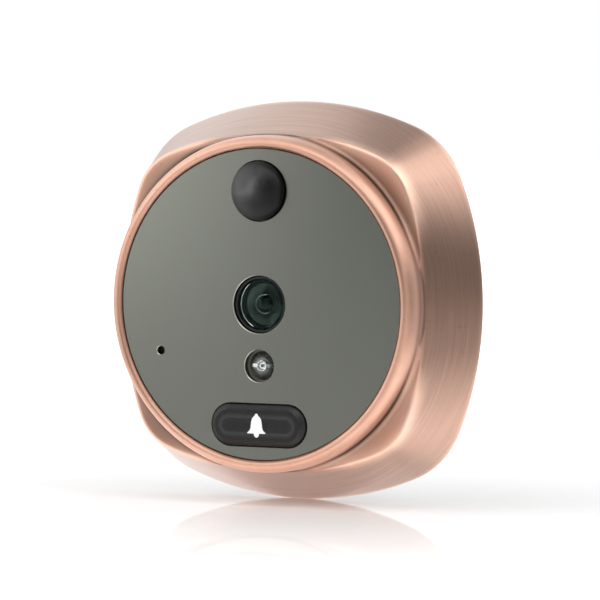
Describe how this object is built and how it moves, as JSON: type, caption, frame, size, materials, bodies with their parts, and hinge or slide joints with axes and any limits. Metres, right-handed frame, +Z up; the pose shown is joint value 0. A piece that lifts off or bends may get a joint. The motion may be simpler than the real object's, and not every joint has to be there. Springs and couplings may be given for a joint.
{
  "type": "peephole door camera",
  "caption": "Outdoor unit of a peephole door camera: rounded-square metal case, round panel with motion window, lens, infrared lamp, microphone and doorbell button.",
  "frame": {"origin": "where the axis of the peephole meets the outer face of the door, at the root of the door spigot", "axes": "+Y points through the door, away from the street, so the front of the unit looks along -Y; +Z is up and +X is right seen from the street"},
  "size_m": [0.0696, 0.0246, 0.0696],
  "materials": {
    "case": "zinc casting with brushed and antiqued copper plating",
    "cover_metal": "zinc casting with thin satin copper plating",
    "panel": "satin anodised, dark warm grey",
    "glue": "acrylic adhesive film",
    "black_plastic": "black moulded ABS",
    "clear_black": "polished black polyethylene, clear to heat",
    "key_black": "semi-gloss moulded ABS",
    "steel_screw": "zinc-plated steel",
    "can_metal": "drawn nickel-plated steel",
    "filter_dark": "coated silicon filter",
    "barrel_black": "black anodised",
    "optic_glass": "optical glass with green-blue coating",
    "filter_glass": "infrared cut filter glass",
    "sensor_pack": "image sensor package",
    "lamp_resin": "water-clear epoxy",
    "lead_metal": "tinned lead frame",
    "soft_black": "black silicone",
    "mesh_cloth": "fine acoustic mesh",
    "mic_metal": "drawn aluminium capsule",
    "board_green": "glass fibre board with green solder mask",
    "chip_black": "moulded chip package",
    "ferrite": "sintered ferrite",
    "ceramic_tan": "sintered ceramic with tinned ends",
    "header_white": "white nylon",
    "foam": "closed-cell foam"
  },
  "bodies": {
    "housing": {"case": "case", "face_panel": "panel", "panel_adhesive": "glue", "inner_frame": "black_plastic", "frame_screws": "steel_screw", "pir_lens": "clear_black", "pir_can": "can_metal", "pir_window": "filter_dark", "pir_header": "can_metal", "pir_spacer": "black_plastic", "pir_leads": "lead_metal", "lens_barrel": "barrel_black", "lens_front_glass": "optic_glass", "lens_spacer_ring": "barrel_black", "aperture_stop": "barrel_black", "lens_rear_glass": "optic_glass", "lens_rear_ring": "barrel_black", "lens_seal": "soft_black", "lens_holder": "black_plastic", "holder_screws": "steel_screw", "infrared_filter": "filter_glass", "image_sensor": "sensor_pack", "led_body": "lamp_resin", "led_leads": "lead_metal", "led_die": "sensor_pack", "led_collar": "soft_black", "led_spacer": "black_plastic", "switch_body": "black_plastic", "switch_cover": "can_metal", "switch_terminals": "lead_metal", "mic_mesh": "mesh_cloth", "mic_boot": "soft_black", "mic_capsule": "mic_metal", "mic_leads": "lead_metal", "main_board": "board_green", "board_screws": "steel_screw", "processor_chip": "chip_black", "memory_chip": "chip_black", "power_inductor": "ferrite", "crystal_can": "can_metal", "capacitors": "ceramic_tan", "resistors": "chip_black", "cable_header": "header_white", "header_contacts": "lead_metal", "back_cover": "cover_metal", "cover_seal": "soft_black", "cover_screws": "steel_screw", "door_gasket": "foam"},
    "button": {"button_cap": "key_black"},
    "plunger": {"switch_plunger": "black_plastic"}
  },
  "joints": [
    {"name": "button_press", "type": "slide", "parent": "housing", "child": "button", "axis": [0, 1, 0], "range_m": [0, 0.0005], "stiffness_N_per_m": 3000, "springref_m": -0.0002},
    {"name": "plunger_press", "type": "slide", "parent": "housing", "child": "plunger", "axis": [0, 1, 0], "range_m": [0, 0.0003]}
  ],
  "couplings": [
    {"joint": "plunger_press", "follows": "button_press", "ratio": 0.6}
  ]
}
